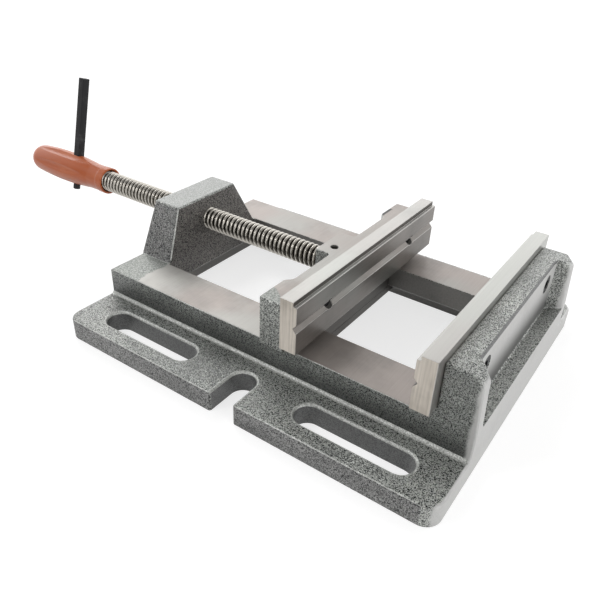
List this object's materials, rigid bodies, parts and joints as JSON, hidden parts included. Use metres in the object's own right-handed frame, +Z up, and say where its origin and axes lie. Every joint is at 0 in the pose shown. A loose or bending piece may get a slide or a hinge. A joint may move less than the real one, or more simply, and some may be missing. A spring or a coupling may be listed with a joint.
{
  "type": "drill press vise",
  "caption": "Low vise with slotted flanges for a drill press table: a screw with a fluted grip and a bar drives a sliding jaw along machined rails.",
  "frame": {"origin": "point on the underside of the base below the screw's axis, midway along the base, which is the centre of the four bolt slots", "axes": "+X along the screw from the handle to the fixed jaw, +Y across the jaws, +Z up from the table"},
  "size_m": [0.3958, 0.203, 0.1084],
  "materials": {
    "casting_paint": "hammertone paint over cast iron, machined where the jaw slides",
    "ground_steel": "ground and milled steel",
    "machined_steel": "plain machined steel",
    "black_steel": "black oxide, satin",
    "screw_steel": "bright turned thread",
    "grip_plastic": "satin moulded plastic"
  },
  "bodies": {
    "base": {"base_casting": "casting_paint", "fixed_jaw_plate": "ground_steel", "fixed_jaw_screws": "black_steel"},
    "jaw": {"movable_jaw": "casting_paint", "movable_jaw_plate": "ground_steel", "movable_jaw_screws": "black_steel", "keeper_plate": "machined_steel", "keeper_washers": "machined_steel", "keeper_bolts": "black_steel", "screw_retaining_pin": "machined_steel"},
    "screw": {"lead_screw": "screw_steel", "handle_grip": "grip_plastic", "handle_bar": "black_steel"}
  },
  "joints": [
    {"name": "jaw_slide", "type": "slide", "parent": "base", "child": "jaw", "axis": [1, 0, 0], "range_m": [-0.085, 0.0624]},
    {"name": "screw_turn", "type": "hinge", "parent": "jaw", "child": "screw", "pos_m": [0, 0, 0.044], "axis": [1, 0, 0], "range_deg": [-9638, 7076]}
  ],
  "couplings": [
    {"joint": "screw_turn", "follows": "jaw_slide", "rad_per_m": 1979}
  ]
}
